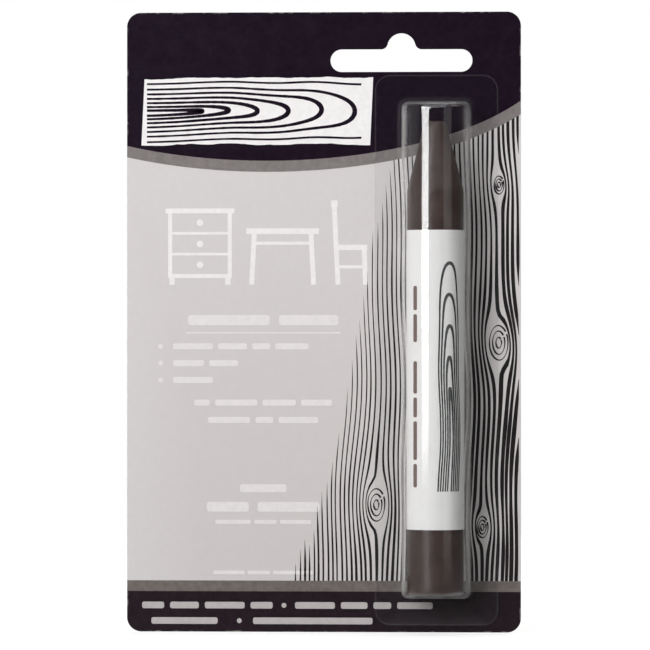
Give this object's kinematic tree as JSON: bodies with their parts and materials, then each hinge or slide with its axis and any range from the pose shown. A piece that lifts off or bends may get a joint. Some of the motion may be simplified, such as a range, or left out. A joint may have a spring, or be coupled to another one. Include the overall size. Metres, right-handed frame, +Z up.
{
  "type": "carded wax repair stick",
  "caption": "Paper-wrapped wax stick for filling scratches in furniture, loose in a clear blister on a rectangular hanging card with a hook slot.",
  "frame": {"origin": "centre of the hang slot's round crown, on the card's back face", "axes": "+Z up the card, +X to the right seen from the front, +Y out of the card's back"},
  "size_m": [0.0889, 0.0148, 0.1397],
  "materials": {
    "printed_board": "satin",
    "clear_sheet": "gloss",
    "brown_wax": "satin",
    "label_paper": "matte"
  },
  "bodies": {
    "pack": {"backing_card": "printed_board", "blister": "clear_sheet"},
    "stick": {"wax_stick": "brown_wax", "paper_label": "label_paper"}
  },
  "joints": [
    {"name": "stick_slide", "type": "slide", "parent": "pack", "child": "stick", "axis": [0, 0, 1], "range_m": [0, 0.0035]}
  ]
}
